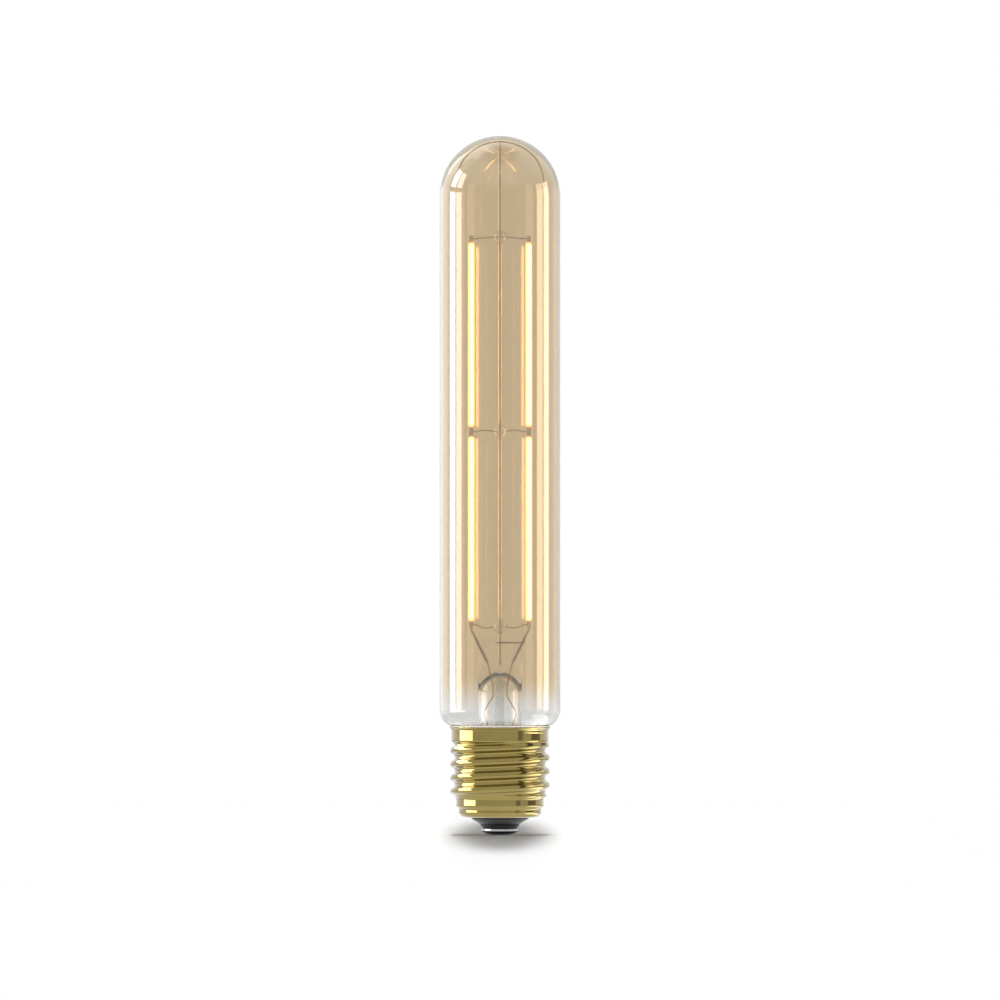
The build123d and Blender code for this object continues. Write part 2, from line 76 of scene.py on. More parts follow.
contact_stem_top = contact_high.z / MM

# Meshes
round_steps = 192  # points round a large turned piece
stem_steps = 384  # and round the stem, whose press has narrow corners
guard_gap = 0.15  # guard points this far from the ends of a straight run keep its shading flat

# Glass envelope
glass_wall = 0.5
neck_radius = 10.15  # a hair inside the cement
neck_length = 6.75
neck_bend = 1.05
tint_low = 31.5  # height where the gold tint begins
tint_high = 43.0  # height where it is at full strength
tint_drift = 1.5  # how far its edge wanders
clear_colour = (0.87, 0.875, 0.87)
gold_colour = (0.765, 0.661, 0.486)
lamp_pass = (0.93, 0.93, 0.93)  # lamp light that passes each face of the glass

# Glass stem
stem_radius = 5.85
stem_wall = 0.9
stem_dome_z = 37.3
stem_dome_height = 5.85
stem_rows = 80
press_width = 11.6
press_thickness = 4.2
press_squareness = 9.0  # exponent of the press's rounded outline
press_top_rounding = 0.35
press_root = 1.5  # height over which the press grows out of the dome
front_blend = 1.3  # fillet from the dome to the press's faces and to its narrow sides
side_blend = 0.6
fillet_rise = 0.6  # top of that fillet above the dome
exhaust_bore_radius = 0.95
exhaust_gap = 0.02
bore_top = 43.0

# Beads
bead_hollow = 0.93  # inside of the bead's clear skin, as a share of its radius

# Screw shell
crest_z = 11.54  # lowest full crest, on the left
thread_pitch = 3.629
thread_depth = 1.2
root_radius = 12.0
pilot_radius = 11.6
base_radius = 10.9
skirt_radius = 12.9
opening_radius = 7.6
cap_wall = 0.3
base_rounding = 1.4
step_z = 7.0
step_drop = 0.2  # where the step from the base to the pilot begins, below step_z
step_height = 1.0
thread_z = 9.9
skirt_z = 25.1
lip_z = 28.1
lip_drop = 0.3  # where the lip begins to bend out, below lip_z
lip_bend = 0.35
lip_rounding = 0.24
lip_land = 0.2  # width of its flat top, past the wall
root_ease = (-0.4, 0.8)  # heights from thread_z over which the pilot widens to the root
skirt_ease = (-1.3, 0.1)  # heights from skirt_z over which the root widens to the skirt
thread_lead = 0.5  # thread rises from this far below thread_z to the lowest full crest
thread_fade = 1.5  # and sinks away over this height below skirt_z
rows_below = 0.9  # rows of the threaded wall begin below thread_z and end above skirt_z
rows_above = 0.3
row_gap = 0.1  # plain rows beside them
thread_rows = 170
skirt_slope = 1.0  # slopes inside the shell, under the skirt, at the thread and at the step
thread_slope = 0.4
step_slope = 0.7

# Insulator
insulator_nose_radius = 5.2
insulator_nose_z = 2.6
face_inset = 0.35  # flat lower face inside the contact's rim
face_rounding = 0.25
nose_rounding = 0.5
cone_start = (0.05, 0.25)  # cone's lower end, outward and up from the nose
cone_end = (0.35, 0.55)  # cone's upper end, inward and down from the shell's opening
throat_rounding = 0.4
throat_drop = 0.15  # where the cone's rounding ends, below the base
flange_top = 6.1
flange_rounding = 0.2
hub_radius = 2.6

# Contact
contact_top = 1.7
contact_flat_radius = 2.5
contact_rim_z = 0.95
contact_rows = 12
contact_curve = 1.9  # exponent of its lower face's curve
contact_edge = 0.12
contact_stem_radius = 1.2
contact_bore_radius = 0.4
contact_painted_shade = (0.15, 0.25)  # heights above its rim over which the painted shade, black on its lower face, ends
shade_edge_wander = 0.1  # how far that edge wanders

# Filaments
core_share = 0.64  # glowing core, as a share of the stick's radius
core_inset = 0.3
stick_rounding = 0.6  # rounding of the ends, as a share of the radius
end_fade = 0.6  # half the length over which each end fades
chip_pitch = 1.7
chip_dim = 0.93  # level between two chips

# Materials
tone_range = (0.3, 0.7)  # values of a noise between which a surface goes from dark to light
gloss_range = (0.25, 0.75)  # and from smooth to rough
wire_lines = (900, 900, 60)
cement_painted_glow = 0.7  # painted light: the cement glows, standing in for the light that would reach it through the glass

# Camera: level, at the middle of the photograph, and far away
photo_mm = 264.75  # width of the picture at the bulb
camera_distance = 3000.0
camera_z = 88.66
sensor_mm = 36.0

# Lamps: degrees up from the front, strength, and width in degrees
lamps = ((55, 0.3, 7), (70, 0.3, 7), (90, 2.52, 2), (116, 0.2, 7), (136, 0.5, 7))

# Floor
floor_side = 120.0
floor_front = -400.0
floor_back = 300.0
floor_grey = 0.82
floor_lift = 0.065  # added light on the floor, for the camera
floor_shine = (1.0, 0.55)  # painted light: floor's level in reflections, a brighter pool near the cap and dimmer farther out
floor_near = (60.0, 100.0)  # reach over which it goes from one to the other
floor_through = 0.95  # floor's level through the glass
low_light = (20.0, 90.0, -14.0, 14.0)  # low light on the right, which only reflections show: its x and y
low_light_soft = 4.0
low_light_level = 2.0

# Graded scrim above the bulb: under the overhead lamp it casts most of the soft shadow on the floor round the
# bulb, darker and wider than the bulb's own
scrim_z = 240.0
scrim_reach = (17.2, 190.0)  # half its width and half its depth
scrim_core = 0.4  # share of that over which it is at its full density
scrim_density = 0.98
scrim_grey = 0.1

# Card above and behind the dome, which only reflections show
flag_side = 120.0
flag_back = 150.0
flag_low = 190.0
flag_high = 330.0
flag_level = 0.6

# Low ring of cards round the cap, which only reflections show: azimuths from the camera towards the right
ring_radius = 200.0
ring_low = -5.0
ring_high = 27.0
canopy_inner = 13.6
canopy_edge = (0.1, 0.2)  # depths below the canopy over which it gives way to the cards
canopy_dark = 0.4  # what the canopy keeps of the dark cards' level
ring_light = (-107.4, -66.7)
ring_light_level = 4.5
ring_light_soft = 2.0
ring_dark = ((41.6, 54.0, 0.5), (77.4, 106.5, 0.35))  # and what is left of the light there
ring_dark_soft = 2.5

# Glint under the canopy, for the brass, and one on top of it, for the shoulder: azimuths and reach
glint = (60.0, 110.0, 40.0, 85.0)
glint_soft = (6.0, 12.0)
glint_level = 2.0
shoulder_glint = (45.0, 75.0, 30.2, 37.0)
shoulder_glint_soft = (3.0, 0.8)
shoulder_glint_level = 5.0

# Studio: directions are shares of a unit length or, where they say so, degrees
front_level = 0.75
backdrop_level = (0.95, 0.8)  # on the left and on the right
backdrop_turn = (-0.1, 0.15)  # where the front turns into the backdrop
backdrop_sides = (-0.5, 0.5)  # where its left turns into its right
ceiling_rise = (0.15, 0.5)  # heights over which the brighter ceiling begins
ceiling_level = 1.3
overhead_rise = (58.0, 75.0)  # elevations in degrees over which it falls off again
overhead_level = 0.6
left_wall = (-156.0, -116.0)  # brighter wall behind on the left, in degrees
left_wall_soft = 5.0
left_wall_rise = (-14.0, 2.0)  # elevations in degrees over which it begins
left_wall_level = 0.4
stem_passes = (4.5, 5.5)  # faces passed by light that has come through the stem too
stem_fall = (13.0, 18.0)  # elevations in degrees over which the studio darkens for it
seam_place = 0.075  # dark seam behind the middle, and its lean to the back overhead
seam_lean = 0.93
seam_width = (0.029, 0.072)  # half its width at the floor, and its growth overhead
seam_soft = 0.3
seam_low = (-1.12, -1.08)  # elevations in degrees over which it begins
fill_level = 0.06  # what the studio gives to matte surfaces
warm_colour = (1.0, 0.68, 0.45)

# Softboxes in the studio: azimuths from the camera towards the right and elevations in degrees,
# then the strength of their white and of their warm light
softboxes = (
    (-111.6, -96.3, -10.0, 5.8, 5.5, 0.0),
    (-111.6, -96.3, 11.7, 33.0, 4.5, 0.0),
    (-92.9, -79.6, -10.0, 5.8, 2.5, 0.6),
    (-92.9, -79.6, 11.7, 33.0, 2.5, 0.6),
    (93.4, 108.3, -10.0, 18.0, 1.0, 1.7),
    (75.5, 90.7, -10.0, 18.0, 0.0, 2.0),
    (-67.0, -51.0, -10.0, 20.0, 0.0, 0.5),
    (51.0, 67.0, -10.0, 20.0, 0.0, 0.5),
    (-147.0, -135.0, 17.0, 46.0, 0.4, 0.2),
    (-115.0, -95.0, 55.0, 66.0, 0.35, 0.0),
)
softbox_soft = (0.5, 0.03)  # softness of their sides and of their ends


# Mesh helpers

def arc(centre, radius, start, end, steps):
    """Points along an arc in the plane of radius and height, angles in degrees."""
    points = []
    for i in range(steps + 1):
        angle = math.radians(start + (end - start) * i / steps)
        points.append((centre[0] + radius * math.cos(angle), centre[1] + radius * math.sin(angle)))
    return points


def run(start, end):
    """Straight run with a guard point near each end, which keeps the shading of the run flat."""
    guard = guard_gap / math.dist(start, end)
    shares = (0, guard, 1 - guard, 1)
    return [(start[0] + (end[0] - start[0]) * s, start[1] + (end[1] - start[1]) * s) for s in shares]


def smooth(value, low, high):
    """Smooth step from 0 at low to 1 at high."""
    share = min(max((value - low) / (high - low), 0.0), 1.0)
    return share * share * (3 - 2 * share)


def lathe(profile, steps=round_steps, centre=(0, 0)):
    """Closed turned mesh from a closed outline of radius and height; a radius may vary with the angle."""
    mesh = bmesh.new()
    rings = []
    for radius, height in profile:
        ring = []
        count = 1 if radius == 0 else steps
        for i in range(count):
            angle = 2 * math.pi * i / steps
            reach = radius(angle) if callable(radius) else radius
            x = centre[0] + reach * math.cos(angle)
            y = centre[1] + reach * math.sin(angle)
            ring.append(mesh.verts.new((x * MM, y * MM, height * MM)))
        rings.append(ring)
    for ring, above in zip(rings, rings[1:] + rings[:1]):
        if len(ring) == 1 and len(above) == 1:
            continue
        for i in range(steps):
            j = (i + 1) % steps
            corners = [ring[i % len(ring)], ring[j % len(ring)], above[j % len(above)], above[i % len(above)]]
            mesh.faces.new(list(dict.fromkeys(corners)))
    bmesh.ops.recalc_face_normals(mesh, faces=mesh.faces)
    return mesh


def sheet(corners):
    """Flat mesh with the given corners."""
    mesh = bmesh.new()
    mesh.faces.new([mesh.verts.new((x * MM, y * MM, z * MM)) for x, y, z in corners])
    return mesh


def as_object(name, mesh, sharp=32):
    """Scene object from a bmesh, shaded smooth apart from edges sharper than an angle in degrees."""
    data = bpy.data.meshes.new(name)
    mesh.to_mesh(data)
    mesh.free()
    data.shade_smooth()
    data.set_sharp_from_angle(angle=math.radians(sharp))
    made = bpy.data.objects.new(name, data)
    bpy.context.scene.collection.objects.link(made)
    return made


def piece(made, material, nodes):
    """Finishes a piece: its material, the body it rides on and the nodes that it stands for."""
    made.data.materials.clear()
    made.data.materials.append(material)
    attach(made, "root")
    if nodes:
        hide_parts(*nodes)
    return made


# Node helpers

class Nodes:
    """Short way to add and link shader nodes in one tree."""

    def __init__(self, owner, output="ShaderNodeOutputMaterial"):
        owner.use_nodes = True
        self.tree = owner.node_tree
        self.tree.nodes.clear()
        self.out = self.tree.nodes.new(output)

    def add(self, kind, settings=None, **inputs):
        """New node with its settings and inputs."""
        node = self.tree.nodes.new(kind)
        for name, value in (settings or {}).items():
            setattr(node, name, value)
        for name, value in inputs.items():
            self.set(node.inputs[name.replace("_", " ")], value)
        return node

    def set(self, socket, value):
        """Links a socket to another, or gives it a constant."""
        if isinstance(value, bpy.types.NodeSocket):
            self.tree.links.new(value, socket)
        else:
            socket.default_value = value

    def show(self, shader):
        """Makes a shader the one that the output shows."""
        self.set(self.out.inputs["Surface"], shader.outputs[0])

    def mix(self, share, first, second):
        """Two shaders mixed by a share."""
        node = self.add("ShaderNodeMixShader", Fac=share)
        self.set(node.inputs[1], first.outputs[0])
        self.set(node.inputs[2], second.outputs[0])
        return node

    def sum(self, first, second):
        """Two shaders added."""
        node = self.add("ShaderNodeAddShader")
        self.set(node.inputs[0], first.outputs[0])
        self.set(node.inputs[1], second.outputs[0])
        return node

    def math(self, operation, *values):
        node = self.add("ShaderNodeMath", {"operation": operation})
        for socket, value in zip(node.inputs, values):
            self.set(socket, value)
        return node.outputs[0]

    def step(self, value, low, high, to_low=0.0, to_high=1.0):
        """Smooth step between two levels."""
        node = self.add("ShaderNodeMapRange", {"interpolation_type": "SMOOTHSTEP"})
        for name, number in zip(("Value", "From Min", "From Max", "To Min", "To Max"),
                                (value, low, high, to_low, to_high)):
            self.set(node.inputs[name], number)
        return node.outputs["Result"]

    def between(self, value, low, high, soft):
        """1 between two limits with soft edges, and 0 elsewhere."""
        rise = self.step(value, low - soft, low + soft)
        fall = self.step(value, high - soft, high + soft, 1.0, 0.0)
        return self.math("MULTIPLY", rise, fall)

    def patch(self, across, along, edges, soft):
        """Soft-edged patch: its edges on the first measure, then on the second, and its softness on each."""
        left, right, near, far = edges
        return self.math("MULTIPLY", self.between(across, left, right, soft[0]),
                         self.between(along, near, far, soft[1]))

    def ramp(self, value, stops):
        node = self.add("ShaderNodeValToRGB", Fac=value)
        band = node.color_ramp
        while len(band.elements) < len(stops):
            band.elements.new(1.0)
        for element, (place, colour) in zip(band.elements, stops):
            element.position = place
            element.color = (*colour, 1.0)
        return node.outputs["Color"]

    def tone(self, value, dark, light):
        """Colour from dark to light by a noise."""
        return self.ramp(value, list(zip(tone_range, (dark, light))))

    def place(self):
        return self.add("ShaderNodeTexCoord").outputs["Object"]

    def parts(self, vector):
        return self.add("ShaderNodeSeparateXYZ", Vector=vector).outputs

    def length(self, vector):
        return self.add("ShaderNodeVectorMath", {"operation": "LENGTH"}, Vector=vector).outputs["Value"]

    def azimuth(self, parts):
        """Degrees from the camera's side towards the right."""
        front = self.math("MULTIPLY", parts["Y"], -1.0)
        return self.math("DEGREES", self.math("ARCTAN2", parts["X"], front))

    def in_mm(self, value):
        return self.math("DIVIDE", value, MM)

    def stretched(self, scale):
        """Place on the object, stretched along each axis."""
        return self.add("ShaderNodeMapping", Vector=self.place(), Scale=scale).outputs["Vector"]

    def noise(self, scale, detail=3.0):
        node = self.add("ShaderNodeTexNoise", Vector=self.stretched(scale), Scale=1.0, Detail=detail)
        return node.outputs["Fac"]

    def bump(self, height, strength, distance):
        node = self.add("ShaderNodeBump", Height=height, Strength=strength, Distance=distance)
        return node.outputs["Normal"]


def surface(name, **constants):
    """New material with its nodes and a Principled shader, some of whose sockets are set."""
    material = bpy.data.materials.new(name)
    nodes = Nodes(material)
    shader = nodes.add("ShaderNodeBsdfPrincipled", **constants)
    nodes.show(shader)
    return material, nodes, shader


# Materials

def tinted_glass():
    """Clear glass with a thin gold coating that fades out towards the shoulder; lamps shine through it."""
    material, nodes, shader = surface("tinted_glass", Transmission_Weight=1.0, Roughness=0.0, IOR=1.5,
                                      Coat_Roughness=0.0, Coat_IOR=1.6)
    streaks = nodes.noise((60.0, 60.0, 6.0))
    drift = nodes.math("MULTIPLY_ADD", streaks, tint_drift * MM, -tint_drift / 2 * MM)
    height = nodes.math("ADD", nodes.parts(nodes.place())["Z"], drift)
    share = nodes.step(height, tint_low * MM, tint_high * MM)
    nodes.set(shader.inputs["Base Color"], nodes.ramp(share, [(0.0, clear_colour), (1.0, gold_colour)]))
    nodes.set(shader.inputs["Coat Weight"], share)
    passed = nodes.add("ShaderNodeBsdfTransparent", Color=(*lamp_pass, 1.0))
    lamp_ray = nodes.add("ShaderNodeLightPath").outputs["Is Shadow Ray"]
    nodes.show(nodes.mix(lamp_ray, shader, passed))
    return material


def plain_glass(name, dark, light, bend, coat, coat_bend):
    """Clear glass with faint cords in it, and how much it and its glossy coat bend light."""
    material, nodes, shader = surface(name, Transmission_Weight=1.0, Roughness=0.0, IOR=bend,
                                      Coat_Weight=coat, Coat_Roughness=0.0, Coat_IOR=coat_bend)
    cords = nodes.noise((300.0, 300.0, 90.0))
    nodes.set(shader.inputs["Base Color"], nodes.tone(cords, dark, light))
    return material


def brass():
    """Rolled brass with fine lines round the cap and dull patches."""
    material, nodes, shader = surface("brass", Metallic=1.0, Coat_Weight=1.0, Coat_Roughness=0.03)
    patches = nodes.noise((120.0, 120.0, 160.0), 4.0)
    lines = nodes.noise((30.0, 30.0, 5200.0), 2.0)
    nodes.set(shader.inputs["Base Color"], nodes.tone(patches, (0.3, 0.228, 0.05), (0.355, 0.268, 0.062)))
    nodes.set(shader.inputs["Roughness"], nodes.step(patches, *gloss_range, 0.03, 0.06))
    nodes.set(shader.inputs["Normal"], nodes.bump(lines, 0.03, 0.00003))
    return material


def black_glass():
    """Pressed black glass with a slightly uneven gloss."""
    material, nodes, shader = surface("black_glass", Specular_IOR_Level=0.27)
    flow = nodes.noise((260.0, 260.0, 260.0), 4.0)
    nodes.set(shader.inputs["Base Color"], nodes.tone(flow, (0.004, 0.004, 0.005), (0.009, 0.008, 0.01)))
    nodes.set(shader.inputs["Roughness"], nodes.step(flow, *tone_range, 0.24, 0.34))
    nodes.set(shader.inputs["Normal"], nodes.bump(flow, 0.1, 0.0001))
    return material


def plain_metal(name, dark, light, rough, lines):
    """Drawn or stamped metal, its tone and gloss varied by fine lines."""
    material, nodes, shader = surface(name, Metallic=1.0)
    drawn = nodes.noise(lines)
    nodes.set(shader.inputs["Base Color"], nodes.tone(drawn, dark, light))
    nodes.set(shader.inputs["Roughness"], nodes.step(drawn, *gloss_range, rough - 0.06, rough + 0.06))
    nodes.set(shader.inputs["Normal"], nodes.bump(drawn, 0.08, 0.00002))
    return material


def plain_solid(name, dark, light, rough, grain, lit=0.0):
    """Moulded, cast or coated surface with a fine grain, and any painted glow that stands in for light it
    would take in through the glass.
    """
    # painted light: a glow in the surface's own light tone, of strength lit
    material, nodes, shader = surface(name, Emission_Color=(*light, 1.0), Emission_Strength=lit)
    speckle = nodes.noise((grain, grain, grain), 4.0)
    nodes.set(shader.inputs["Base Color"], nodes.tone(speckle, dark, light))
    nodes.set(shader.inputs["Roughness"], nodes.step(speckle, *gloss_range, rough - 0.08, rough + 0.08))
    nodes.set(shader.inputs["Normal"], nodes.bump(speckle, 0.25, 0.00005))
    return material


def contact_metal():
    """Tinned plate whose rounded lower face is painted black: painted shade for the dark it would reflect
    from the floor under it.
    """
    material, nodes, shader = surface("contact_metal")
    wear_and_shade_edge = nodes.noise((90.0, 90.0, 90.0))
    # painted shade: below this height, whose edge a noise moves a little, the plate turns black and loses its
    # gloss
    height = nodes.math("MULTIPLY_ADD", wear_and_shade_edge, shade_edge_wander * MM, nodes.parts(nodes.place())["Z"])
    share = nodes.step(height, *[(contact_rim_z + rise) * MM for rise in contact_painted_shade])
    colour = nodes.ramp(share, [(0.0, (0.006, 0.006, 0.007)), (1.0, (0.5, 0.5, 0.49))])
    nodes.set(shader.inputs["Base Color"], colour)
    nodes.set(shader.inputs["Metallic"], share)
    nodes.set(shader.inputs["Specular IOR Level"], nodes.step(share, 0.0, 1.0, 0.02, 0.5))
    nodes.set(shader.inputs["Roughness"], nodes.step(wear_and_shade_edge, *gloss_range, 0.2, 0.32))
    return material


def glow(name, colour, strength, alpha):
    """Lit phosphor, a little brighter over each of the chips along the stick and fading out at its ends."""
    material, nodes, shader = surface(name, Roughness=0.5, Alpha=alpha)
    height = nodes.parts(nodes.place())["Z"]
    chips = nodes.math("SINE", nodes.math("MULTIPLY", height, 2 * math.pi / (chip_pitch * MM)))
    dim = tuple(chip_dim * c for c in colour)
    tone = nodes.ramp(nodes.step(chips, -1.0, 1.0), [(0.0, dim), (1.0, colour)])
    lit = nodes.math("MAXIMUM", *[
        nodes.between(height, low.z + end_fade * MM, high.z - end_fade * MM, end_fade * MM)
        for low, high in (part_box("filament_lower_left"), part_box("filament_upper_left"))
    ])
    nodes.set(shader.inputs["Base Color"], tone)
    nodes.set(shader.inputs["Emission Color"], tone)
    nodes.set(shader.inputs["Emission Strength"], nodes.math("MULTIPLY", lit, strength))
    return material


MATERIALS = {
    "tinted_glass": tinted_glass(),
    "clear_glass": plain_glass("clear_glass", (0.985, 0.985, 0.98), (1.0, 1.0, 1.0), 1.45, 1.0, 1.6),
    "brass": brass(),
    "black_glass": black_glass(),
    "contact_metal": contact_metal(),
    "nickel_wire": plain_metal("nickel_wire", (0.34, 0.29, 0.23), (0.44, 0.38, 0.31), 0.16, wire_lines),
    "copper_wire": plain_metal("copper_wire", (0.58, 0.37, 0.11), (0.74, 0.5, 0.18), 0.3, wire_lines),
    "phosphor": glow("phosphor", (1.0, 0.7, 0.3), 9.0, 1.0),
    "cement": plain_solid("cement", (0.84, 0.83, 0.8), (0.9, 0.89, 0.86), 0.8, 900.0, cement_painted_glow),
    "board": plain_solid("board", (0.05, 0.14, 0.06), (0.08, 0.2, 0.09), 0.5, 700.0),
    "package": plain_solid("package", (0.012, 0.012, 0.013), (0.03, 0.03, 0.032), 0.55, 1400.0),
    "can": plain_metal("can", (0.55, 0.56, 0.58), (0.7, 0.71, 0.73), 0.3, (400, 400, 60)),
    "resistor": plain_solid("resistor", (0.45, 0.36, 0.24), (0.55, 0.45, 0.3), 0.5, 900.0),
}
ROD_METAL = plain_metal("rod_metal", (0.62, 0.6, 0.56), (0.74, 0.72, 0.67), 0.26, wire_lines)
TAB_METAL = plain_metal("tab_metal", (0.5, 0.42, 0.33), (0.62, 0.54, 0.44), 0.2, wire_lines)
SLEEVE = glow("phosphor_sleeve", (1.0, 0.6, 0.25), 1.5, 0.45)
THIN_GLASS = plain_glass("thin_glass", (0.96, 0.965, 0.955), (0.985, 0.99, 0.985), 1.06, 0.3, 1.5)


# Glass pieces

def make_envelope():
    """Outside from the neck up to the dome, then back down the inside."""
    inside = bulb_radius - glass_wall
    neck_inside = neck_radius - glass_wall
    shoulder_radius = bulb_radius - neck_radius - neck_bend
    seat_z = neck_z + neck_length
    shoulder = (bulb_radius - shoulder_radius, seat_z + shoulder_radius)
    bend = (neck_radius + neck_bend, seat_z - neck_bend)
    dome = (0, bulb_top - bulb_radius)
    outline = run((neck_radius, neck_z), (neck_radius, bend[1]))
    outline += arc(bend, neck_bend, 180, 90, 8)[1:]
    outline += arc(shoulder, shoulder_radius, 270, 360, 32)[1:]
    outline += run((bulb_radius, shoulder[1]), (bulb_radius, dome[1]))[1:]
    outline += arc(dome, bulb_radius, 0, 90, 64)[1:-1]
    outline += [(0, bulb_top), (0, bulb_top - glass_wall)]
    outline += arc(dome, inside, 90, 0, 64)[1:]
    outline += run((inside, dome[1]), (inside, shoulder[1]))[1:]
    outline += arc(shoulder, shoulder_radius - glass_wall, 360, 270, 32)[1:]
    outline += arc(bend, neck_bend + glass_wall, 90, 180, 12)[1:]
    outline += run((neck_inside, bend[1]), (neck_inside, neck_z))[1:]
    made = as_object("bulb_glass", lathe(outline))
    piece(made, MATERIALS["tinted_glass"], ["glass_envelope"])


def stem_reach(height, inset):
    """Radius of the stem's dome and press at a height, as a function of the angle."""
    rise = max(height - stem_dome_z, 0.0)
    if rise < stem_dome_height:
        dome = stem_radius * math.sqrt(1 - (rise / stem_dome_height)**2)
    else:
        dome = stem_dome_height - rise
    grown = smooth(rise, -press_root, press_root)

    def radius(angle):
        across = abs(math.cos(angle)) / (press_width / 2 - inset)
        through = abs(math.sin(angle)) / (press_thickness / 2 - inset)
        press = grown * (across**press_squareness + through**press_squareness) ** (-1 / press_squareness)
        blend = side_blend + (front_blend - side_blend) * math.sin(angle)**2
        near = max(blend - abs(dome - press), 0.0) / blend
        return max(dome, press) + near * near * blend / 4

    return radius


def dome_inside(radius):
    """Height of the inside of the stem's round dome at a radius."""
    return stem_dome_z + math.sqrt((stem_radius - stem_wall)**2 - radius**2)


def make_stem():
    """Flare, tube, dome and press, then the bore and the inside of the dome and the flare."""
    flare_radius = flare_rim_radius - stem_radius
    flare = (flare_rim_radius, rim_z + stem_wall + flare_radius)
    inside = stem_radius - stem_wall
    outline = arc(flare, flare_radius, 270, 180, 24)
    outline += run((stem_radius, flare[1]), (stem_radius, stem_dome_z - press_root))[1:-1]
    fillet_top = stem_dome_z + stem_dome_height + fillet_rise
    for i in range(stem_rows + 1):
        height = stem_dome_z - press_root + (fillet_top - stem_dome_z + press_root) * i / stem_rows
        outline.append((stem_reach(height, 0.0), height))
    for reach, rise in arc((0, 0), press_top_rounding, 0, 90, 5):
        height = press_z - press_top_rounding + rise
        outline.append((stem_reach(height, press_top_rounding - reach), height))
    outline.append((stem_reach(press_z, press_top_rounding + guard_gap), press_z))
    outline += [(0, press_z), (0, bore_top)]
    outline += run((exhaust_bore_radius, bore_top), (exhaust_bore_radius, dome_inside(exhaust_bore_radius)))
    start = math.degrees(math.acos(exhaust_bore_radius / inside))
    outline += arc((0, stem_dome_z), inside, start, 0, 32)[1:]
    outline += run((inside, stem_dome_z), (inside, flare[1]))[1:-1]
    outline += arc(flare, flare_radius + stem_wall, 180, 270, 24)
    made = as_object("stem_glass", lathe(outline, stem_steps))
    piece(made, MATERIALS["clear_glass"], ["glass_stem"])


def make_exhaust():
    """Thin tube with a round sealed tip."""
    tip = (0, exhaust_tip + exhaust_radius)
    outline = [(0, exhaust_tip)] + arc(tip, exhaust_radius, 270, 360, 12)[1:]
    outline += run(outline[-1], (exhaust_radius, dome_inside(exhaust_radius) - exhaust_gap))[1:]
    bore_end = dome_inside(exhaust_bore_radius) - exhaust_gap
    outline += run((exhaust_bore_radius, bore_end), (exhaust_bore_radius, tip[1]))
    outline += arc(tip, exhaust_bore_radius, 360, 270, 12)[1:-1]
    outline += [(0, tip[1] - exhaust_bore_radius)]
    made = as_object("exhaust_glass", lathe(outline, 64))
    piece(made, THIN_GLASS, ["exhaust_tube"])


def make_bead(name):
    """Round bead on the rod, drawn as a clear skin."""
    low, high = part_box(name)
    radius = (high.x - low.x) / 2 / MM
    level = (high.z + low.z) / 2 / MM
    hollow = radius * bead_hollow
    start = math.degrees(math.acos(rod_radius / radius))
    outline = arc((0, level), radius, -start, start, 40)
    start = math.degrees(math.acos(rod_radius / hollow))
    outline += arc((0, level), hollow, start, -start, 40)
    made = as_object(name + "_glass", lathe(outline, 64), 60)
    piece(made, MATERIALS["clear_glass"], [name])


# Cap: screw shell with its rolled thread, insulator and contact

def shell_wall(height):
    """Radius of the shell's outside at a height, as a function of the angle, with round crests and roots."""
    plain = pilot_radius
    plain += (root_radius - pilot_radius) * smooth(height, *[thread_z + rise for rise in root_ease])
    plain += (skirt_radius - root_radius) * smooth(height, *[skirt_z + rise for rise in skirt_ease])
    full = smooth(height, thread_z - thread_lead, crest_z) * smooth(height, skirt_z, skirt_z - thread_fade)
    flank = 2 * math.atan(2 * thread_depth / thread_pitch)
    rounding = thread_pitch / 4 / math.sin(flank)

    def radius(angle):
        turns = (height - crest_z) / thread_pitch - (angle / (2 * math.pi) - 0.5)
        off_crest = abs(turns - round(turns)) * thread_pitch
        off_root = thread_pitch / 2 - off_crest
        drop = rounding - math.sqrt(rounding**2 - min(off_crest, off_root)**2)
        rise = thread_depth - drop if off_crest < off_root else drop
        return plain + full * rise

    return radius


def make_shell():
    """Floor, base, step, threaded wall, skirt and lip, then the plain inside back down."""
    curve = (base_radius - base_rounding, base_z + base_rounding)
    step_low = step_z - step_drop
    outline = run((opening_radius, base_z), (curve[0], base_z))[:-1]
    outline += arc(curve, base_rounding, 270, 360, 12)
    outline += run((base_radius, curve[1]), (base_radius, step_low))[1:]
    for share in (0.15, 0.3, 0.5, 0.7, 0.85, 1.0):
        radius = base_radius + (pilot_radius - base_radius) * smooth(share, 0, 1)
        outline.append((radius, step_low + share * step_height))
    low = thread_z - rows_below
    high = skirt_z + rows_above
    outline += [(pilot_radius, step_z + step_height), (pilot_radius, low - row_gap)]
    for i in range(thread_rows + 1):
        height = low + (high - low) * i / thread_rows
        outline.append((shell_wall(height), height))
    outline += run((skirt_radius, high + row_gap), (skirt_radius, lip_z - lip_drop))
    outline += arc((skirt_radius + lip_bend, lip_z - lip_drop), lip_bend, 180, 110, 6)[1:]
    outline += arc((lip_radius - lip_rounding, cap_top - lip_rounding), lip_rounding, -60, 90, 10)
    inside = [(lip_radius - lip_land, cap_top), (skirt_radius, lip_z), (skirt_radius, skirt_z)]
    inside += [(root_radius, skirt_z - skirt_slope), (root_radius, thread_z + thread_slope)]
    inside += [(pilot_radius, thread_z), (pilot_radius, step_z + step_slope), (base_radius, step_z)]
    inside += [(base_radius, curve[1])]
    outline += [(radius - cap_wall, height) for radius, height in inside]
    outline += [(curve[0], base_z + cap_wall), (opening_radius, base_z + cap_wall)]
    made = as_object("brass_shell", lathe(outline, 256))
    piece(made, MATERIALS["brass"], ["screw_shell"])


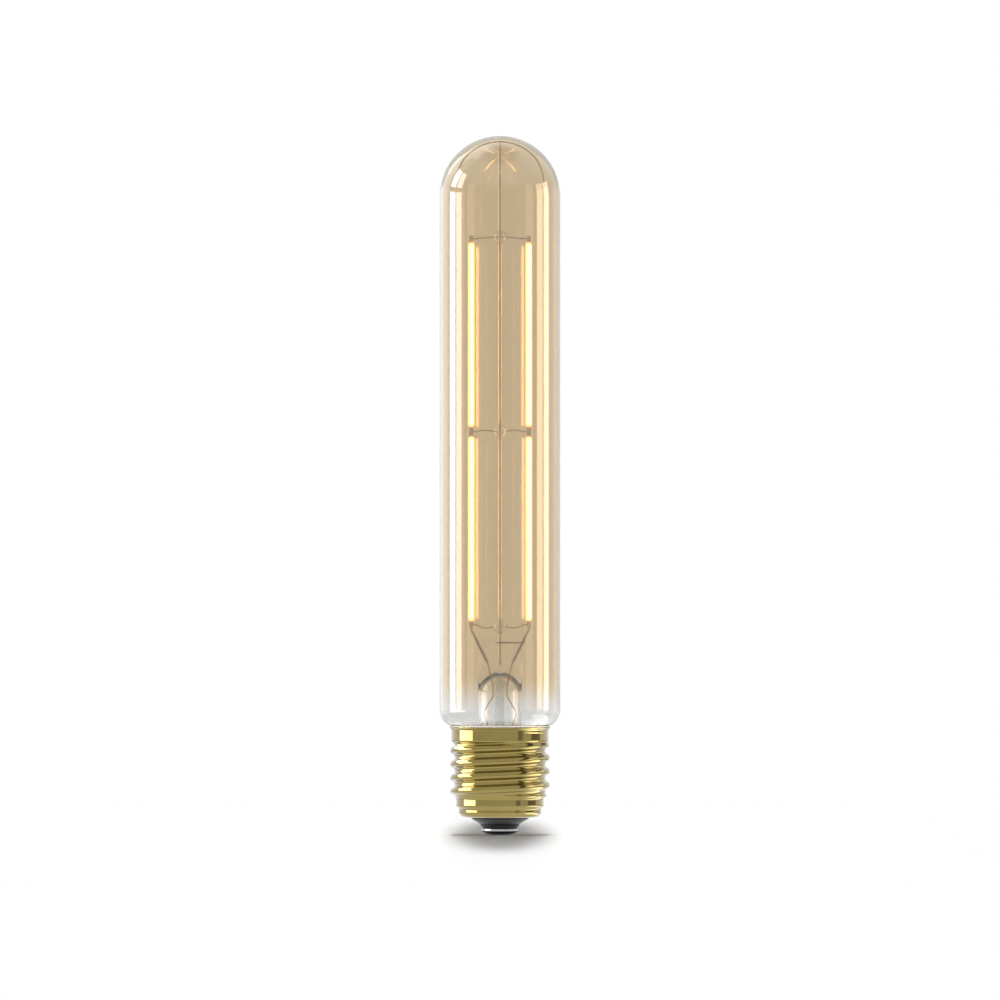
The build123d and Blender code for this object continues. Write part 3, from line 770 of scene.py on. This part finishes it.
def make_insulator():
    """Lower face, nose and cone, then the flange inside the shell and the hub."""
    flange_z = base_z + cap_wall
    face_radius = contact_radius - face_inset
    cone_low = (insulator_nose_radius + cone_start[0], insulator_nose_z + cone_start[1])
    cone_high = (opening_radius - cone_end[0], base_z - cone_end[1])
    outline = [(contact_stem_radius, contact_top), (face_radius, contact_top)]
    outline += arc((face_radius, contact_top + face_rounding), face_rounding, 270, 340, 6)[1:]
    outline += arc((insulator_nose_radius - nose_rounding, insulator_nose_z), nose_rounding, 0, 37, 5)
    outline += run(cone_low, cone_high)
    outline += arc((opening_radius - throat_rounding, base_z - throat_drop), throat_rounding, -50, 0, 5)
    outline += [(opening_radius, flange_z), (insulator_radius, flange_z)]
    flange_edge = (insulator_radius - flange_rounding, flange_top - flange_rounding)
    outline += arc(flange_edge, flange_rounding, 0, 90, 4)
    outline += [(hub_radius, flange_top), (hub_radius, insulator_top), (contact_stem_radius, insulator_top)]
    made = as_object("insulator_glass", lathe(outline, 160), 40)
    piece(made, MATERIALS["black_glass"], ["insulator"])


def make_contact():
    """Plate with a curved lower face, and its stem with the bore for the wire."""
    outline = [(0, 0), (contact_flat_radius, 0)]
    run_out = contact_radius - contact_flat_radius
    for i in range(1, contact_rows):
        share = i / contact_rows
        outline.append((contact_flat_radius + run_out * share, contact_rim_z * share**contact_curve))
    edge_radius = contact_radius - contact_edge
    outline += arc((edge_radius, contact_rim_z + contact_edge), contact_edge, -45, 0, 4)
    outline += arc((edge_radius, contact_top - contact_edge), contact_edge, 0, 90, 4)
    outline += [(contact_stem_radius, contact_top), (contact_stem_radius, contact_stem_top)]
    outline += [(contact_bore_radius, contact_stem_top), (contact_bore_radius, contact_top), (0, contact_top)]
    made = as_object("contact_plate", lathe(outline, 128), 40)
    piece(made, MATERIALS["contact_metal"], ["centre_contact"])


# Filaments

def make_filament(name):
    """Glowing core in a soft translucent sleeve with round ends."""
    low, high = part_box(name)
    centre = ((low.x + high.x) / 2 / MM, (low.y + high.y) / 2 / MM)
    radius = (high.x - low.x) / 2 / MM
    layers = (
        ("_sleeve", radius, 0.0, SLEEVE, [name]),
        ("_core", radius * core_share, core_inset, MATERIALS["phosphor"], []),
    )
    for suffix, reach, inset, material, nodes in layers:
        bottom = low.z / MM + inset
        top = high.z / MM - inset
        ease = reach * stick_rounding
        outline = [(0, bottom)]
        outline += arc((reach - ease, bottom + ease), ease, 270, 360, 6)
        outline += arc((reach - ease, top - ease), ease, 0, 90, 6)
        outline += [(0, top)]
        made = as_object(name + suffix, lathe(outline, 32, centre), 60)
        piece(made, material, nodes)


make_envelope()
make_stem()
make_exhaust()
for bead in ("lower_bead", "middle_bead", "upper_bead"):
    make_bead(bead)
make_shell()
make_insulator()
make_contact()
for row in ("lower", "upper"):
    for side in ("left", "right"):
        make_filament(f"filament_{row}_{side}")

# CAD nodes that stay: each takes the material of its slot in the record, the rod and tabs a brighter metal
slot_of = {row["node"]: row["material_slot"] for row in frame["record"]["subparts"]}
for name, node in frame["nodes"].items():
    if not node.hide_render:
        node.data.materials.clear()
        shown = MATERIALS[slot_of[name]]
        if name == "support_rod":
            shown = ROD_METAL
        if name.startswith("tab_"):
            shown = TAB_METAL
        node.data.materials.append(shown)
        for face in node.data.polygons:
            face.material_index = 0


# Floor, cards, lamps, world and camera

def staged(name, mesh, hidden_from=()):
    """Piece of the studio, hidden from some kinds of ray, and the nodes of its new material."""
    made = as_object(name, mesh)
    for visibility in hidden_from:
        setattr(made, visibility, False)
    material = bpy.data.materials.new(name)
    made.data.materials.append(material)
    return Nodes(material)


def card(name, mesh):
    """Card that only reflections show."""
    return staged(name, mesh, ("visible_camera", "visible_diffuse", "visible_transmission", "visible_shadow"))


def make_floor():
    """Pale strip that carries the shadow, with the low light in what reflections show of it.

    Metal and glass look past its sides at the studio.
    """
    nodes = staged("floor", sheet((
        (-floor_side, floor_front, 0), (floor_side, floor_front, 0),
        (floor_side, floor_back, 0), (-floor_side, floor_back, 0),
    )))
    path = nodes.add("ShaderNodeLightPath").outputs
    matte = nodes.add("ShaderNodeBsdfDiffuse", Color=(floor_grey, floor_grey, floor_grey, 1.0))
    lift = nodes.add("ShaderNodeEmission", Strength=nodes.math("MULTIPLY", path["Is Camera Ray"], floor_lift))
    place = nodes.place()
    parts = nodes.parts(place)
    patch = nodes.patch(nodes.in_mm(parts["X"]), nodes.in_mm(parts["Y"]), low_light,
                        (low_light_soft, low_light_soft))
    # painted light: in reflections the floor glows, brightest near the cap, where it lies in the bulb's
    # shadow
    base = nodes.step(nodes.in_mm(nodes.length(place)), *floor_near, *floor_shine)
    shine = nodes.add("ShaderNodeEmission", Strength=nodes.math("MULTIPLY_ADD", patch, low_light_level, base))
    pale = nodes.add("ShaderNodeEmission", Strength=floor_through)
    shown = nodes.mix(path["Is Glossy Ray"], nodes.sum(matte, lift), shine)
    nodes.show(nodes.mix(path["Is Transmission Ray"], shown, pale))


def make_flag():
    """Card above and behind the dome."""
    nodes = card("flag", sheet((
        (-flag_side, flag_back, flag_low), (flag_side, flag_back, flag_low),
        (flag_side, flag_back, flag_high), (-flag_side, flag_back, flag_high),
    )))
    nodes.show(nodes.add("ShaderNodeEmission", Strength=flag_level))


def make_ring():
    """Ring of cards with a canopy, seen from inside only, so that the brass shows nothing else.

    From outside, only the shoulder's glint on top of the canopy is seen.
    """
    mesh = bmesh.new()
    rows = []
    for radius, height in ((ring_radius, ring_low), (ring_radius, ring_high), (canopy_inner, ring_high)):
        angles = [2 * math.pi * i / round_steps for i in range(round_steps)]
        places = [(radius * math.cos(a), radius * math.sin(a), height) for a in angles]
        rows.append([mesh.verts.new((x * MM, y * MM, z * MM)) for x, y, z in places])
    for row, above in zip(rows, rows[1:]):
        for i in range(round_steps):
            j = (i + 1) % round_steps
            mesh.faces.new((row[i], row[j], above[j], above[i]))
    nodes = card("ring", mesh)
    place = nodes.place()
    parts = nodes.parts(place)
    turn = nodes.azimuth(parts)
    reach = nodes.in_mm(nodes.length(place))
    depth = nodes.math("SUBTRACT", ring_high, nodes.in_mm(parts["Z"]))
    canopy = nodes.step(depth, *canopy_edge, canopy_dark, 1.0)
    back = [share * ring_radius * MM for share in backdrop_turn]
    level = nodes.step(parts["Y"], *back, front_level, backdrop_level[0])
    for left, right, left_over in ring_dark:
        dark = nodes.between(turn, left, right, ring_dark_soft)
        rest = nodes.math("MULTIPLY", canopy, left_over)
        level = nodes.math("MULTIPLY", level, nodes.step(dark, 0.0, 1.0, 1.0, rest))
    streak = nodes.patch(turn, reach, glint, glint_soft)
    level = nodes.math("MULTIPLY_ADD", streak, glint_level, level)
    bright = nodes.between(turn, *ring_light, ring_light_soft)
    level = nodes.math("MULTIPLY_ADD", bright, ring_light_level, level)
    inside = nodes.add("ShaderNodeEmission", Strength=level)
    clear = nodes.add("ShaderNodeBsdfTransparent")
    gleam = nodes.add("ShaderNodeEmission", Strength=shoulder_glint_level)
    outside = nodes.mix(nodes.patch(turn, reach, shoulder_glint, shoulder_glint_soft), clear, gleam)
    nodes.show(nodes.mix(nodes.add("ShaderNodeNewGeometry").outputs["Backfacing"], outside, inside))


def make_scrim():
    """Cloth that only lamp light meets, dense in the middle and thin towards its edge."""
    side, depth = scrim_reach
    nodes = staged("scrim", sheet((
        (-side, -depth, scrim_z), (side, -depth, scrim_z), (side, depth, scrim_z), (-side, depth, scrim_z),
    )), ("visible_camera", "visible_diffuse", "visible_glossy", "visible_transmission"))
    reach = nodes.length(nodes.stretched((1 / (side * MM), 1 / (depth * MM), 0.0)))
    clear = nodes.add("ShaderNodeBsdfTransparent")
    cloth = nodes.add("ShaderNodeBsdfDiffuse", Color=(scrim_grey, scrim_grey, scrim_grey, 1.0))
    nodes.show(nodes.mix(nodes.step(reach, scrim_core, 1.0, scrim_density, 0.0), clear, cloth))


def make_lamps():
    """Overhead strip light from front to back: a row of soft suns that metal and glass don't show."""
    for number, (angle, strength, size) in enumerate(lamps):
        lamp = bpy.data.lights.new(f"lamp_{number}", "SUN")
        lamp.energy = strength
        lamp.angle = math.radians(size)
        made = bpy.data.objects.new(lamp.name, lamp)
        made.rotation_euler = (math.radians(90 - angle), 0, 0)
        made.visible_glossy = False
        made.visible_transmission = False
        bpy.context.scene.collection.objects.link(made)


def make_world():
    """White studio with softboxes at both sides; metal and glass see it, and it lights the rest softly."""
    world = bpy.data.worlds.new("studio")
    bpy.context.scene.world = world
    nodes = Nodes(world, "ShaderNodeOutputWorld")
    path = nodes.add("ShaderNodeLightPath").outputs
    parts = nodes.parts(nodes.add("ShaderNodeTexCoord").outputs["Generated"])
    x, y, z = parts["X"], parts["Y"], parts["Z"]
    turn = nodes.azimuth(parts)
    rise = nodes.math("DEGREES", nodes.math("ARCSINE", z))

    def darken(level, share):
        return nodes.math("MULTIPLY", level, nodes.step(share, 0.0, 1.0, 1.0, 0.0))

    level = nodes.step(y, *backdrop_turn, front_level, nodes.step(x, *backdrop_sides, *backdrop_level))
    # brighter ceiling that falls off overhead, and a brighter wall behind on the left
    level = nodes.math("MULTIPLY", level, nodes.step(z, *ceiling_rise, 1.0, ceiling_level))
    level = nodes.math("MULTIPLY", level, nodes.step(rise, *overhead_rise, 1.0, overhead_level))
    wall = nodes.between(turn, *left_wall, left_wall_soft)
    wall = nodes.math("MULTIPLY", wall, nodes.step(rise, *left_wall_rise))
    level = nodes.math("MULTIPLY_ADD", wall, left_wall_level, level)
    # through the stem, inside the bulb, the studio falls off above the backdrop
    through = nodes.step(path["Transmission Depth"], *stem_passes)
    through = nodes.math("MULTIPLY", path["Is Transmission Ray"], through)
    level = darken(level, nodes.math("MULTIPLY", through, nodes.step(rise, *stem_fall)))
    # thin dark seam between the backdrop and the ceiling, up both sides and over the top
    climb = nodes.math("POWER", nodes.math("MAXIMUM", z, 0.0), 2.0)
    away = nodes.math("SUBTRACT", y, nodes.math("MULTIPLY", climb, seam_lean))
    width = nodes.math("MULTIPLY_ADD", climb, seam_width[1], seam_width[0])
    offset = nodes.math("DIVIDE", nodes.math("SUBTRACT", away, seam_place), width)
    seam = nodes.between(offset, -1.0, 1.0, seam_soft)
    level = darken(level, nodes.math("MULTIPLY", seam, nodes.step(rise, *seam_low)))
    warm = 0.0
    for *edges, white_light, warm_light in softboxes:
        box = nodes.patch(turn, rise, edges, softbox_soft)
        level = nodes.math("MULTIPLY_ADD", box, white_light, level)
        warm = nodes.math("MULTIPLY_ADD", box, warm_light, warm)
    seen = nodes.math("MAXIMUM", path["Is Glossy Ray"], path["Is Transmission Ray"])
    shown = nodes.step(seen, 0.0, 1.0, fill_level, 1.0)
    level = nodes.math("MAXIMUM", nodes.math("MULTIPLY", level, shown), path["Is Camera Ray"])
    white = nodes.add("ShaderNodeBackground", Color=(1.0, 1.0, 1.0, 1.0), Strength=level)
    amber = nodes.add("ShaderNodeBackground", Color=(*warm_colour, 1.0),
                      Strength=nodes.math("MULTIPLY", warm, seen))
    nodes.show(nodes.sum(white, amber))


def make_camera():
    """Level camera, so far away that the view is nearly parallel."""
    data = bpy.data.cameras.new("camera")
    data.sensor_width = sensor_mm
    data.lens = sensor_mm * camera_distance / photo_mm
    camera = bpy.data.objects.new("camera", data)
    camera.location = (0, -camera_distance * MM, camera_z * MM)
    camera.rotation_euler = (math.radians(90), 0, 0)
    bpy.context.scene.collection.objects.link(camera)
    bpy.context.scene.camera = camera


make_floor()
make_flag()
make_ring()
make_scrim()
make_lamps()
make_world()
make_camera()
bpy.context.scene.view_settings.view_transform = "Standard"
